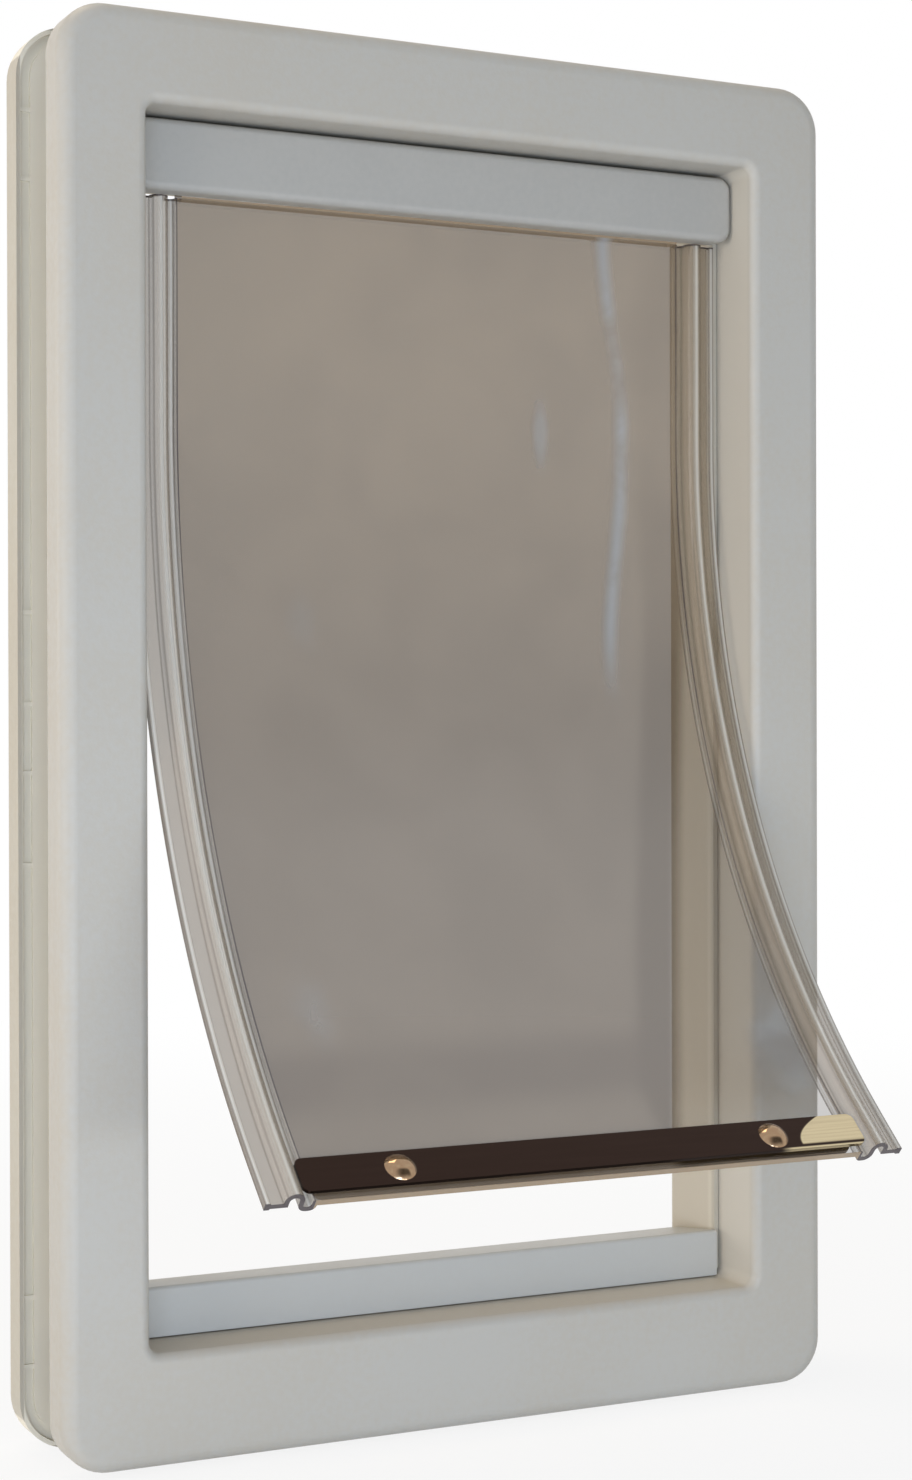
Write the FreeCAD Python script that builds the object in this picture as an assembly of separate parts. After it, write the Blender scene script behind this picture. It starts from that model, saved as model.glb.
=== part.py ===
import FreeCAD, Part
import math
import os

V = FreeCAD.Vector
ALONG_X = V(1, 0, 0)
ALONG_Y = V(0, 1, 0)

# Frame of the part: X across the door, Z up, Y through the door from the front room to the back.
# The origin is in the middle of the rear frame, on the plane where it meets the door.

# Door
door_thickness = 22.0

# Front frame
frame_width = 226.0
frame_height = 370.0
corner_radius = 12.5
flange_depth = 12.0
edge_round = 4.0
face_wall = 2.5
front_rim_wall = 2.0
side_margin = 23.0
top_margin = 24.0
bottom_margin = 29.0
opening_corner = 3.0
opening_round = 2.5
front_sleeve_wall = 2.0
front_sleeve_reach = 4.0

# Rear frame
rear_overhang = 1.2
rear_depth = 12.0
rear_rim_wall = 1.2
rear_opening_round = 4.0
inner_sleeve_reach = 14.5
inner_sleeve_wall = 1.4
sleeve_clearance = 0.2

# Rail and ribs inside both flanges
groove_width = 2.8
groove_depth = 1.7
rail_wall = 4.2
rail_recess = 0.6
rib_wall = 1.2
rib_recess = 0.8
boss_rib_spread = 9.0
middle_rib_height = 33.0

# Screws through the door
screw_inset = 11.5
screw_end_inset = 30.0
screw_length = 35.0
screw_radius = 2.0
screw_hole_clearance = 0.3
screw_head_radius = 4.0
screw_head_height = 2.6
head_clearance = 0.3
boss_wall = 2.0
rear_boss_wall = 1.0

# Header bar and its screws
header_gap = 1.2
header_end_gap = 0.4
header_height = 18.5
header_thickness = 9.0
header_corner = 4.0
header_round = 2.0
clamp_screw_inset = 19.6
clamp_screw_length = 11.0
clamp_screw_radius = 1.5
clamp_hole_clearance = 0.1
clamp_head_radius = 2.75
clamp_head_height = 2.2

# Screw heads, as shares of their own size
head_round_share = 0.33
recess_reach_share = 0.6
recess_wall_share = 0.12
recess_depth_share = 0.5

# Header of the rear frame
header_wall = 4.6
header_depth = 18.0
shelf_wall = 2.0
shelf_rise = 5.0

# Bead that the flap hangs from
bead_radius = 3.0
bead_clearance = 0.08
bead_rise = 1.16
rear_lip_rise = 0.16

# Flap
flap_side_gap = 0.3
flap_sill_gap = 7.86
panel_thickness = 1.6
profile_wall = 1.2
channel_radius = 1.75
channel_leg = 0.2
arch_radius = 1.9
arch_leg = 0.6
wing_width = 5.3
tip_width = 1.4
tip_thickness = 2.0
profile_start = 5.9
straight_length = 52.5
bend_angle = 48.5
tail_length = 12.2

# Metal strips and rivets at the bottom of the flap
strip_height = 9.8
strip_thickness = 1.0
strip_lip = 2.2
strip_end_gap = 0.4
strip_corner = 2.0
rivet_inset = 23.5
rivet_radius = 1.75
rivet_hole_clearance = 0.05
rivet_head_radius = 4.0
rivet_head_height = 1.8
rivet_tail_radius = 3.0
rivet_tail_height = 1.0

# Sill
sill_rise = 13.4
sill_slope_drop = 3.1
sill_lip = 2.0
sill_depth = 21.0
sill_clearance = 0.3
sill_round = 1.0
magnet_inset = 18.4
magnet_width = 6.0
magnet_height = 3.0
magnet_cover = 2.2
magnet_clearance = 0.1

cut_over = 1.0
tolerance = 0.001

# Places worked out from the sizes
front_seat = -door_thickness
front_face = front_seat - flange_depth
rear_face = rear_depth
clamp_plane = -inner_sleeve_reach
rear_width = frame_width + 2 * rear_overhang
rear_height = frame_height + 2 * rear_overhang
rear_corner = corner_radius + rear_overhang
opening_width = frame_width - 2 * side_margin
opening_height = frame_height - top_margin - bottom_margin
opening_mid = (bottom_margin - top_margin) / 2
opening_top = opening_mid + opening_height / 2
opening_bottom = opening_mid - opening_height / 2
inner_outside_width = opening_width - 2 * sleeve_clearance
inner_outside_height = opening_height - 2 * sleeve_clearance
inner_outside_corner = opening_corner - sleeve_clearance
inner_width = inner_outside_width - 2 * inner_sleeve_wall
inner_height = inner_outside_height - 2 * inner_sleeve_wall
inner_corner = inner_outside_corner - inner_sleeve_wall
inner_top = opening_mid + inner_height / 2
inner_bottom = opening_mid - inner_height / 2
screw_x = frame_width / 2 - screw_inset
screw_rise = frame_height / 2 - screw_end_inset
end_rib_spacing = frame_width / 4
screw_seat = rear_face - screw_head_height
screw_hole_radius = screw_radius + screw_hole_clearance
header_top = opening_top - header_gap
header_bottom = header_top - header_height
header_front = clamp_plane - header_thickness
axis_z = header_bottom + bead_rise
groove_radius = bead_radius + bead_clearance
header_half = opening_width / 2 - header_end_gap
shelf_bottom = axis_z + shelf_rise
shelf_top = shelf_bottom + shelf_wall
clamp_screw_z = (header_top + shelf_top) / 2
clamp_screw_x = header_half - clamp_screw_inset
clamp_seat = clamp_plane + header_wall
clamp_hole_radius = clamp_screw_radius + clamp_hole_clearance
sill_top = opening_bottom + sill_rise
panel_half_width = inner_width / 2 - flap_side_gap - wing_width - 2 * arch_radius - 2 * channel_radius
rivet_x = panel_half_width - rivet_inset
rear_strip_half = panel_half_width - profile_wall / 2 - strip_end_gap
front_strip_half = rear_strip_half + 2 * channel_radius
flap_length = axis_z - sill_top - flap_sill_gap
bend_length = flap_length - profile_start - straight_length - tail_length
bend_radius = bend_length / math.radians(bend_angle)
bend_z = axis_z - profile_start - straight_length
bend_y = clamp_plane - bend_radius


def slab(width, height, y0, y1, radius, mid_z=0.0):
    """Block square to the door, with its four corners rounded."""
    block = Part.makeBox(width, y1 - y0, height, V(-width / 2, y0, mid_z - height / 2))
    corners = [e for e in block.Edges if abs(e.tangentAt(e.FirstParameter).y) > 0.99]
    return block.makeFillet(radius, corners)


def frame_ring(width, height, wall, y0, y1, radius, mid_z=0.0):
    """Wall of even thickness around a rounded rectangle, inside the given size."""
    outside = slab(width, height, y0, y1, radius, mid_z)
    inside = slab(width - 2 * wall, height - 2 * wall, y0 - cut_over, y1 + cut_over, radius - wall, mid_z)
    return outside.cut(inside)


def box_between(x0, x1, y0, y1, z0, z1):
    return Part.makeBox(x1 - x0, y1 - y0, z1 - z0, V(x0, y0, z0))


def rod(x, z, y0, y1, radius):
    return Part.makeCylinder(radius, y1 - y0, V(x, y0, z), ALONG_Y)


def edges_on_plane(shape, y, half_width, half_height, mid_z=0.0):
    """Edges that lie in the plane at y, within the given half sizes."""
    found = []
    for edge in shape.Edges:
        box = edge.BoundBox
        flat = abs(box.YMin - y) < tolerance and abs(box.YMax - y) < tolerance
        within_x = box.XMin > -half_width - tolerance and box.XMax < half_width + tolerance
        above = box.ZMin > mid_z - half_height - tolerance
        below = box.ZMax < mid_z + half_height + tolerance
        if flat and within_x and above and below:
            found.append(edge)
    return found


def flange_shell(width, height, face_y, seat_y, radius, rim_wall):
    """Flange with a rounded outer edge, hollow on the side of the door."""
    y0, y1 = min(face_y, seat_y), max(face_y, seat_y)
    shell = slab(width, height, y0, y1, radius)
    shell = shell.makeFillet(edge_round, edges_on_plane(shell, face_y, width / 2, height / 2))
    inward = 1 if seat_y > face_y else -1
    floor_y = face_y + inward * face_wall
    mouth_y = seat_y + inward * cut_over
    y0, y1 = min(floor_y, mouth_y), max(floor_y, mouth_y)
    hollow = slab(width - 2 * rim_wall, height - 2 * rim_wall, y0, y1, radius - rim_wall)
    return shell.cut(hollow)


def screw_places():
    return [(side * screw_x, rise * screw_rise) for rise in (-1, 0, 1) for side in (-1, 1)]


def rib_heights():
    """Heights of the ribs in a side groove: two beside each screw and one above and below the middle."""
    heights = [-middle_rib_height, middle_rib_height]
    for rise in (-1, 0, 1):
        heights.append(rise * screw_rise - boss_rib_spread)
        heights.append(rise * screw_rise + boss_rib_spread)
    return heights


def flange_stiffeners(width, height, rim_wall, radius, face_y, seat_y):
    """Rail around the hollow side, and the shallow groove with small ribs between it and the rim."""
    inward = 1 if seat_y > face_y else -1
    floor_y = face_y + inward * (face_wall - cut_over)
    rail_y = seat_y - inward * rail_recess
    rib_y = seat_y - inward * rib_recess
    inset = rim_wall + groove_width
    y0, y1 = min(floor_y, rail_y), max(floor_y, rail_y)
    rail = frame_ring(width - 2 * inset, height - 2 * inset, rail_wall, y0, y1, radius - inset)
    groove_y = seat_y - inward * groove_depth
    y0, y1 = min(floor_y, groove_y), max(floor_y, groove_y)
    bed_wall = rim_wall / 2 + groove_width + rail_wall / 2
    bed = frame_ring(width - rim_wall, height - rim_wall, bed_wall, y0, y1, radius - rim_wall / 2)
    pieces = [rail, bed]
    y0, y1 = min(floor_y, rib_y), max(floor_y, rib_y)
    inside_rim = rim_wall / 2
    reach = inset + rail_wall / 2
    for side in (-1, 1):
        x0, x1 = sorted((side * (width / 2 - inside_rim), side * (width / 2 - reach)))
        for z in rib_heights():
            pieces.append(box_between(x0, x1, y0, y1, z - rib_wall / 2, z + rib_wall / 2))
        z0, z1 = sorted((side * (height / 2 - inside_rim), side * (height / 2 - reach)))
        for step in (-1, 0, 1):
            x = step * end_rib_spacing
            pieces.append(box_between(x - rib_wall / 2, x + rib_wall / 2, y0, y1, z0, z1))
    return pieces


def boss_webs(width, rim_wall, floor_y, top_y):
    """Web from each screw boss out to the rail."""
    rail_x = width / 2 - rim_wall - groove_width - rail_wall / 2
    webs = []
    for x, z in screw_places():
        x0, x1 = sorted((x, math.copysign(rail_x, x)))
        webs.append(box_between(x0, x1, floor_y, top_y, z - rib_wall / 2, z + rib_wall / 2))
    return webs


def front_frame():
    body = flange_shell(frame_width, frame_height, front_face, front_seat, corner_radius, front_rim_wall)
    adds = flange_stiffeners(frame_width, frame_height, front_rim_wall, corner_radius, front_face, front_seat)
    floor_y = front_face + face_wall / 2
    boss_end = front_seat - rail_recess
    boss_radius = screw_hole_radius + boss_wall
    adds += [rod(x, z, floor_y, boss_end, boss_radius) for x, z in screw_places()]
    adds += boss_webs(frame_width, front_rim_wall, floor_y, boss_end)
    sleeve_width = opening_width + 2 * front_sleeve_wall
    sleeve_height = opening_height + 2 * front_sleeve_wall
    sleeve_corner = opening_corner + front_sleeve_wall
    adds.append(slab(sleeve_width, sleeve_height, front_face, front_sleeve_reach, sleeve_corner, opening_mid))
    body = body.fuse(adds)
    opening = slab(opening_width, opening_height, front_face - cut_over, front_sleeve_reach + cut_over,
                   opening_corner, opening_mid)
    bore_floor = front_face + face_wall
    bores = [rod(x, z, bore_floor, front_seat + cut_over, screw_hole_radius) for x, z in screw_places()]
    body = body.cut([opening] + bores).removeSplitter()
    lip = edges_on_plane(body, front_face, opening_width / 2, opening_height / 2, opening_mid)
    return body.makeFillet(opening_round, lip)


def rear_header():
    """Header across the top of the rear frame, open to the back, with the rear half of the bead groove."""
    half = inner_outside_width / 2 - inner_sleeve_wall / 2
    top = inner_top + inner_sleeve_wall / 2
    wall = box_between(-half, half, clamp_plane, clamp_seat, axis_z + rear_lip_rise, top)
    shelf = box_between(-half, half, clamp_plane + header_wall / 2, clamp_plane + header_depth, shelf_bottom,
                        shelf_top)
    groove = Part.makeCylinder(groove_radius, 2 * half, V(-half, clamp_plane, axis_z), ALONG_X)
    return wall.fuse(shelf).cut(groove)


def rear_frame():
    body = flange_shell(rear_width, rear_height, rear_face, 0.0, rear_corner, rear_rim_wall)
    adds = flange_stiffeners(rear_width, rear_height, rear_rim_wall, rear_corner, rear_face, 0.0)
    boss_radius = screw_head_radius + head_clearance + rear_boss_wall
    floor_y = rear_face - face_wall / 2
    adds += [rod(x, z, rail_recess, floor_y, boss_radius) for x, z in screw_places()]
    adds += boss_webs(rear_width, rear_rim_wall, rail_recess, floor_y)
    adds.append(slab(inner_outside_width, inner_outside_height, clamp_plane, rear_face, inner_outside_corner,
                     opening_mid))
    body = body.fuse(adds)
    opening = slab(inner_width, inner_height, clamp_plane - cut_over, rear_face + cut_over, inner_corner,
                   opening_mid)
    cuts = [opening]
    for x, z in screw_places():
        cuts.append(rod(x, z, -cut_over, rear_face + cut_over, screw_hole_radius))
        cuts.append(rod(x, z, screw_seat, rear_face + cut_over, screw_head_radius + head_clearance))
    body = body.cut(cuts).removeSplitter()
    lip = edges_on_plane(body, rear_face, inner_width / 2, inner_height / 2, opening_mid)
    body = body.makeFillet(rear_opening_round, lip)
    body = body.fuse(rear_header())
    holes = [rod(x, clamp_screw_z, clamp_plane - cut_over, clamp_seat + cut_over, clamp_hole_radius)
             for x in clamp_places()]
    return body.cut(holes).removeSplitter()


def clamp_places():
    return [step * clamp_screw_x for step in (-1, 0, 1)]


def header_bar():
    mid_z = (header_top + header_bottom) / 2
    bar = slab(2 * header_half, header_height, header_front, clamp_plane, header_corner, mid_z)
    front_edges = edges_on_plane(bar, header_front, header_half, header_height / 2, mid_z)
    bar = bar.makeFillet(header_round, front_edges)
    groove = Part.makeCylinder(groove_radius, 2 * header_half, V(-header_half, clamp_plane, axis_z), ALONG_X)
    tip = clamp_seat - clamp_screw_length - clamp_hole_clearance
    holes = [rod(x, clamp_screw_z, tip, clamp_plane + cut_over, clamp_hole_radius) for x in clamp_places()]
    return bar.cut([groove] + holes)


def screw(x, z, seat_y, length, radius, head_radius, head_height):
    """Pan-head screw driven towards the front, with a cross recess in its head."""
    shank = rod(x, z, seat_y - length, seat_y, radius)
    head = rod(x, z, seat_y, seat_y + head_height, head_radius)
    top = seat_y + head_height
    rim = [e for e in head.Edges if abs(e.BoundBox.YMin - top) < tolerance]
    head = head.makeFillet(head_height * head_round_share, rim)
    arm = head_radius * recess_reach_share
    slot = head_radius * recess_wall_share
    floor_y = top - head_height * recess_depth_share
    across = box_between(x - arm, x + arm, floor_y, top + cut_over, z - slot, z + slot)
    upright = box_between(x - slot, x + slot, floor_y, top + cut_over, z - arm, z + arm)
    return shank.fuse(head).cut([across, upright]).removeSplitter()


def section_face(z, start, steps):
    """Flat face at height z. A step of one point is a straight edge, one of two an arc through the first."""
    edges = []
    here = V(*start, z)
    for step in steps:
        points = [V(*point, z) for point in step]
        curve = Part.Arc(here, *points) if len(points) == 2 else Part.LineSegment(here, *points)
        edges.append(curve.toShape())
        here = points[-1]
    return Part.Face(Part.Wire(edges))


def half_section(z):
    """Right half of the flap's section at height z: panel, channel to the back, arch to the front, wing."""
    half_wall = profile_wall / 2
    front_y, back_y = clamp_plane - panel_thickness / 2, clamp_plane + panel_thickness / 2
    wing_front, wing_back = clamp_plane - half_wall, clamp_plane + half_wall
    tip_front, tip_back = clamp_plane - tip_thickness / 2, clamp_plane + tip_thickness / 2
    channel_x = panel_half_width + channel_radius
    arch_x = channel_x + channel_radius + arch_radius
    end_x = arch_x + arch_radius + wing_width
    tip_x = end_x - tip_width
    channel_in, channel_out = channel_radius - half_wall, channel_radius + half_wall
    arch_in, arch_out = arch_radius - half_wall, arch_radius + half_wall
    channel_y = clamp_plane + channel_leg
    arch_y = wing_front - arch_leg
    channel_foot = math.sqrt(channel_out ** 2 - (back_y - channel_y) ** 2)
    steps = [
        [(channel_x - channel_in, front_y)],
        [(channel_x - channel_in, channel_y)],
        [(channel_x, channel_y + channel_in), (channel_x + channel_in, channel_y)],
        [(arch_x - arch_out, arch_y)],
        [(arch_x, arch_y - arch_out), (arch_x + arch_out, arch_y)],
        [(arch_x + arch_out, wing_front)],
        [(tip_x, wing_front)],
        [(tip_x, tip_front)],
        [(end_x, tip_front)],
        [(end_x, tip_back)],
        [(tip_x, tip_back)],
        [(tip_x, wing_back)],
        [(arch_x + arch_in, wing_back)],
        [(arch_x + arch_in, arch_y)],
        [(arch_x, arch_y - arch_in), (arch_x - arch_in, arch_y)],
        [(channel_x + channel_out, channel_y)],
        [(channel_x, channel_y + channel_out), (channel_x - channel_foot, back_y)],
        [(0, back_y)],
        [(0, front_y)],
    ]
    return section_face(z, (0, front_y), steps)


def bend_turn(shape):
    """Carries a shape from the start of the flap's bend to its end."""
    moved = shape.copy()
    moved.rotate(V(0, bend_y, bend_z), V(-1, 0, 0), bend_angle)
    return moved


def flap():
    section = half_section(axis_z - profile_start)
    straight = section.extrude(V(0, 0, -straight_length))
    bend = half_section(bend_z).revolve(V(0, bend_y, bend_z), V(-1, 0, 0), bend_angle)
    tail = bend_turn(half_section(bend_z).extrude(V(0, 0, -tail_length)))
    right = straight.fuse([bend, tail]).removeSplitter()
    left = right.mirror(V(0, 0, 0), ALONG_X)
    half = panel_half_width
    bead = Part.makeCylinder(bead_radius, 2 * half, V(-half, clamp_plane, axis_z), ALONG_X)
    face = panel_thickness / 2
    neck_bottom = axis_z - profile_start - face
    neck = box_between(-half, half, clamp_plane - face, clamp_plane + face, neck_bottom, axis_z)
    body = right.fuse([left, bead, neck])
    return body.cut([bend_turn(hole) for hole in rivet_holes()]).removeSplitter()


# Things on the tail are drawn hanging straight below the start of the bend and then carried round it

def strip_mid_z():
    return bend_z - tail_length + strip_lip + strip_height / 2


def rivet_places():
    return [side * rivet_x for side in (-1, 1)]


def rivet_holes():
    reach = panel_thickness / 2 + strip_thickness + cut_over
    radius = rivet_radius + rivet_hole_clearance
    return [rod(x, strip_mid_z(), clamp_plane - reach, clamp_plane + reach, radius) for x in rivet_places()]


def weight_strip(front):
    half = front_strip_half if front else rear_strip_half
    near = panel_thickness / 2
    far = near + strip_thickness
    y0, y1 = (-far, -near) if front else (near, far)
    strip = slab(2 * half, strip_height, clamp_plane + y0, clamp_plane + y1, strip_corner, strip_mid_z())
    return bend_turn(strip.cut(rivet_holes()))


def dome(x, y, z, radius, height, towards):
    """Cap of a sphere standing on a flat face."""
    sphere_radius = (radius ** 2 + height ** 2) / (2 * height)
    centre = V(x, y + towards * (height - sphere_radius), z)
    ball = Part.makeSphere(sphere_radius, centre)
    y0, y1 = sorted((y, y + towards * height * 2))
    return ball.common(box_between(x - radius * 2, x + radius * 2, y0, y1, z - radius * 2, z + radius * 2))


def rivet(x):
    z = strip_mid_z()
    reach = panel_thickness / 2 + strip_thickness
    shank = rod(x, z, clamp_plane - reach, clamp_plane + reach, rivet_radius)
    head = dome(x, clamp_plane - reach, z, rivet_head_radius, rivet_head_height, -1)
    tail = dome(x, clamp_plane + reach, z, rivet_tail_radius, rivet_tail_height, 1)
    return bend_turn(shank.fuse([head, tail]))


def magnet_box(clearance):
    half = inner_width / 2 - magnet_inset + clearance
    y0 = clamp_plane - magnet_width / 2 + sill_lip
    y1 = y0 + magnet_width
    z1 = sill_top - magnet_cover
    z0 = z1 - magnet_height
    return box_between(-half, half, y0 - clearance, y1 + clearance, z0 - clearance, z1 + clearance)


def sill_bar():
    """Sill with a top that falls away to the back, and a pocket for the magnet."""
    half = inner_width / 2 - sill_clearance
    body = box_between(-half, half, clamp_plane, clamp_plane + sill_depth, inner_bottom, sill_top)
    lip = box_between(-half, half, clamp_plane - sill_lip, clamp_plane, opening_bottom, sill_top)
    front_y = clamp_plane - sill_lip
    back_y = clamp_plane + sill_depth
    over = [(front_y, sill_top), (back_y, sill_top - sill_slope_drop), (back_y, sill_top), (front_y, sill_top)]
    wedge = Part.Face(Part.makePolygon([V(-opening_width / 2, y, z) for y, z in over]))
    bar = body.fuse(lip).cut(wedge.extrude(V(opening_width, 0, 0))).removeSplitter()
    front_edges = edges_on_plane(bar, front_y, half, opening_height / 2, opening_mid)
    top_front = [e for e in front_edges if e.BoundBox.ZMin > sill_top - tolerance]
    bar = bar.makeFillet(sill_round, top_front)
    room = slab(opening_width - 2 * sill_clearance, opening_height - 2 * sill_clearance, front_y - cut_over,
                clamp_plane, opening_corner - sill_clearance, opening_mid)
    behind = slab(inner_width, inner_height, clamp_plane, back_y + cut_over, inner_corner, opening_mid)
    return bar.common(room.fuse(behind)).cut(magnet_box(magnet_clearance)).removeSplitter()


def pieces():
    built = {
        "front_frame": front_frame(),
        "rear_frame": rear_frame(),
        "header_bar": header_bar(),
        "sill_bar": sill_bar(),
        "sill_magnet": magnet_box(0.0),
        "flap": flap(),
        "weight_strip_front": weight_strip(True),
        "weight_strip_rear": weight_strip(False),
    }
    for name, x in zip(("rivet_left", "rivet_right"), rivet_places()):
        built[name] = rivet(x)
    for number, x in enumerate(clamp_places(), 1):
        built[f"clamp_screw_{number}"] = screw(x, clamp_screw_z, clamp_seat, clamp_screw_length,
                                               clamp_screw_radius, clamp_head_radius, clamp_head_height)
    for number, (x, z) in enumerate(screw_places(), 1):
        built[f"frame_screw_{number}"] = screw(x, z, screw_seat, screw_length, screw_radius,
                                               screw_head_radius, screw_head_height)
    return built


def main():
    os.makedirs("parts", exist_ok=True)
    for name, shape in pieces().items():
        if len(shape.Solids) == 1:
            shape = shape.Solids[0]
        print(name, "solids", len(shape.Solids), "valid", shape.isValid(), "volume", round(shape.Volume, 1))
        shape.exportStep(f"parts/{name}.step")
    print("hinge axis y", clamp_plane, "z", axis_z, "flap length", round(flap_length, 2))


main()
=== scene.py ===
import math

import bmesh
import bpy
from mathutils import Matrix, Vector


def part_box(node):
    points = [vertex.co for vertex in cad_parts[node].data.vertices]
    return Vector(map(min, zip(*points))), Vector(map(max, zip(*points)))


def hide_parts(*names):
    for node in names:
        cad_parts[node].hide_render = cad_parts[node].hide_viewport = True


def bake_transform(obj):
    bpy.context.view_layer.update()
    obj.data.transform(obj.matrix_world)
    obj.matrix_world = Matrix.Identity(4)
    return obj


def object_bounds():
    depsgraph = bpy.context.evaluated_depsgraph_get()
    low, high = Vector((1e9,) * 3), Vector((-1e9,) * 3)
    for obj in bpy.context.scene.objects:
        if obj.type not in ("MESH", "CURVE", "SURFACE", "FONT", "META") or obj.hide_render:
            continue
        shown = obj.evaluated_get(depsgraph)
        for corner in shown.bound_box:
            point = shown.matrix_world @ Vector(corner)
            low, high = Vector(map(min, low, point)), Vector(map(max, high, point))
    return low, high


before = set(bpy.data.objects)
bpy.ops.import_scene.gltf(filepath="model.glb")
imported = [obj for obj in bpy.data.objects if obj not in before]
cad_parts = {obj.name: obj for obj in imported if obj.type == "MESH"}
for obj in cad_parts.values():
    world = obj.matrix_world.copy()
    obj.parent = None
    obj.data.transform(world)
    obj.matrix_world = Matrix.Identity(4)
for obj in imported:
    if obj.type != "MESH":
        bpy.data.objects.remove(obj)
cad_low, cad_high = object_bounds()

bl_info = {
    "name": "Cat flap",
    "version": (1, 0, 0),
    "blender": (4, 5, 0),
    "location": "3D View > Sidebar > Cat flap",
    "description": "Finishes a framed cat flap: clear vinyl, moulded frames, metal strips and a plain studio",
    "category": "Object",
}

BAR_LOW, BAR_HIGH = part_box("header_bar")
STRIP_LOW, STRIP_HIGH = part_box("weight_strip_front")
FLOOR_GAP = 0.0002
PANEL_CUTS, STRAIGHT_ROWS, CURL_STEPS = 44, 26, 56
SHARP_ANGLE = math.radians(35)

# The vinyl's clear zone begins at START + down * (SLOPE - down * CURVE) across the flap.
CLEAR_START, CLEAR_SLOPE, CLEAR_CURVE = 0.0806, 0.0308, 0.906

# Painted highlights on the vinyl, pale patches where light glints off it: across, down, half width, half height,
# raggedness and strength.
HIGHLIGHT_MARKS = (
    (0.0315, 0.058, 0.0035, 0.014, 0.5, 0.35),
    (0.070, 0.242, 0.011, 0.019, 1.4, 0.85),
    (-0.060, 0.222, 0.008, 0.016, 1.5, 0.22),
    (-0.043, 0.112, 0.006, 0.012, 1.2, 0.12),
)

# Lamps: name, colour, place, size and the place aimed at.
LAMPS = (
    ("key", (1.0, 0.91, 0.81), (-1.9, -0.55, 0.0), (1.1, 1.0), (0.0, -0.02, 0.0)),
    ("fill", (0.66, 0.79, 1.0), (-0.3, -0.78, -0.115), (0.6, 0.12), (0.0, -0.02, 0.0)),
    ("low", (0.86, 0.93, 1.0), (0.02, -0.48, -0.155), (0.3, 0.04), (0.0, -0.03, -0.16)),
    ("top", (1.0, 0.82, 0.60), (-0.3, 0.35, 1.5), (0.7, 0.7), (0.0, -0.02, 0.0)),
    ("back", (1.0, 0.93, 0.84), (-1.0, 0.8, 0.1), (0.6, 0.5), (0.0, -0.02, 0.0)),
)

# Dark card: place and half size.
CARD_SPOT = Vector((0.9, -1.7, 0.9))
CARD_HALF = (2.2, 1.3)


def srgb(red, green, blue):
    """Linear colour of an 8-bit screen colour."""
    shares = [value / 255 for value in (red, green, blue)]
    return tuple(s / 12.92 if s <= 0.04045 else ((s + 0.055) / 1.055) ** 2.4 for s in shares)


def length(name, description, default):
    return bpy.props.FloatProperty(name=name, description=description, default=default, precision=5,
                                   subtype="DISTANCE", unit="LENGTH")


def turn(name, description, degrees):
    return bpy.props.FloatProperty(name=name, description=description, default=math.radians(degrees),
                                   subtype="ANGLE", unit="ROTATION")


def share(name, description, default, top=1.0):
    return bpy.props.FloatProperty(name=name, description=description, default=default, min=0.0, max=top,
                                   subtype="FACTOR")


def tint(name, description, red, green, blue):
    return bpy.props.FloatVectorProperty(name=name, description=description, default=srgb(red, green, blue),
                                         size=3, min=0.0, max=1.0, subtype="COLOR")


class FlapSizes(bpy.types.PropertyGroup):
    """Sizes of the vinyl flap."""
    hinge_depth: length("Hinge depth", "Place of the hinge line through the door", -0.0145)
    hinge_height: length("Hinge height", "Height of the hinge line", 0.14246)
    bead_radius: length("Bead radius", "Radius of the bead held by the bar", 0.003)
    bar_gap: length("Bar gap", "Room between the bar and the side profiles", 0.00025)
    panel_half: length("Panel half width", "Half of the flat panel's width", 0.0755)
    panel_wall: length("Panel thickness", "Thickness of the flat panel", 0.0016)
    profile_wall: length("Profile wall", "Wall of the channel, arch and wing", 0.0012)
    channel_radius: length("Channel radius", "Middle radius of the channel", 0.00175)
    channel_leg: length("Channel leg", "Straight part of the channel's sides", 0.0002)
    arch_radius: length("Arch radius", "Middle radius of the arch", 0.0019)
    arch_leg: length("Arch leg", "Straight part of the arch's sides", 0.0006)
    wing_width: length("Wing width", "Width of the flat wing and its tip", 0.0053)
    tip_width: length("Tip width", "Width of the thick tip", 0.0014)
    tip_wall: length("Tip thickness", "Thickness of the thick tip", 0.002)
    straight: length("Straight length", "Length from the hinge line to the start of the bend", 0.0584)
    bend_radius: length("Bend radius", "Radius of the flap's curl", 0.24406)
    bend_angle: turn("Bend angle", "Angle of the flap's curl", 48.5)
    tail: length("Tail length", "Straight part that carries the metal strips", 0.012193)
    soft_length: length("Soft length", "Length below the bar over which the vinyl flexes", 0.026)
    ripple: length("Ripple", "Depth of the panel's faint waves", 0.00018)


class VinylLook(bpy.types.PropertyGroup):
    """Colours of the vinyl."""
    body: tint("Body", "Smoky tint of the panel", 90, 71, 48)
    veil: tint("Veil", "Cool haze over most of the panel", 122, 105, 86)
    haze: tint("Haze", "Paler, warmer tone of the panel's upper part", 152, 131, 104)
    profile: tint("Profile", "Tint of the side profiles", 146, 129, 106)
    # Painted highlight: the bright ridge tone stands in for light glinting along the side profiles.
    ridge_highlight: tint("Ridge", "Bright ridges of the side profiles", 232, 227, 216)
    edge: tint("Edge", "Colour of the cut and turned edges", 62, 52, 56)
    brown_band: tint("Stain", "Brown cast above the metal strip", 86, 66, 46)
    # Painted highlight: the pale streak and the pale patches stand in for light glinting off the glossy vinyl.
    highlight_streak: tint("Streak", "Pale drawn streaks", 178, 185, 190)
    cover: share("Cover", "How much one face of the hazy panel hides", 0.62)
    clear_cover: share("Clear cover", "How much one face hides where the panel is clear", 0.24)
    profile_cover: share("Profile cover", "How much one face of the side profiles hides", 0.46)
    gloss_roughness: share("Roughness", "Roughness of the vinyl", 0.12)


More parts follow.
